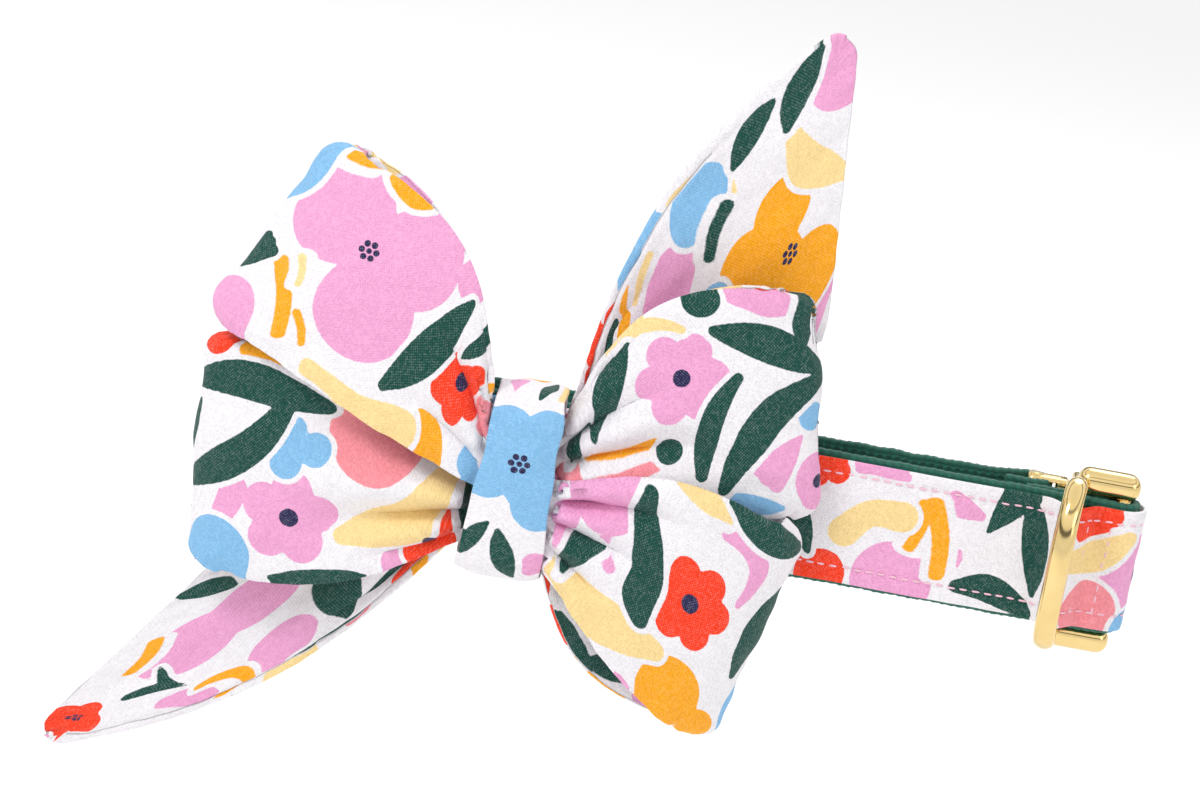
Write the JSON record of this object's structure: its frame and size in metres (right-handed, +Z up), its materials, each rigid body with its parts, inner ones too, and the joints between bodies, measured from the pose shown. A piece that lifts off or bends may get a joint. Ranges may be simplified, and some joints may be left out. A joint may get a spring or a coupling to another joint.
{
  "type": "pet bow tie collar",
  "caption": "Adjustable fabric-covered pet collar, buckled in a flat loop, with a leash ring and a large sailor bow held on by elastic.",
  "frame": {"origin": "middle of the neck opening, which the strap's two runs enclose, at half the strap's width", "axes": "+X along the strap towards the buckle, +Y away from the bow towards the far run, +Z up across the strap's width"},
  "size_m": [0.2016, 0.0354, 0.1639],
  "materials": {
    "printed_cotton": "matte crinkled cotton with a scattered floral print",
    "webbing": "ribbed dark green webbing",
    "elastic": "knitted white elastic",
    "gold_plating": "polished gold plating"
  },
  "bodies": {
    "collar": {"collar_webbing": "webbing", "collar_cover": "printed_cotton", "buckle_socket": "gold_plating", "buckle_plug": "gold_plating", "bow_front_loops": "printed_cotton", "bow_back_loops": "printed_cotton", "bow_tails": "printed_cotton", "bow_knot": "printed_cotton", "bow_keeper": "elastic"},
    "ring": {"d_ring": "gold_plating"}
  },
  "joints": [
    {"name": "ring_hinge", "type": "hinge", "parent": "collar", "child": "ring", "pos_m": [0.0773, -0.0071, 0.0013], "axis": [0, 0, 1], "range_deg": [-74, 92]}
  ]
}
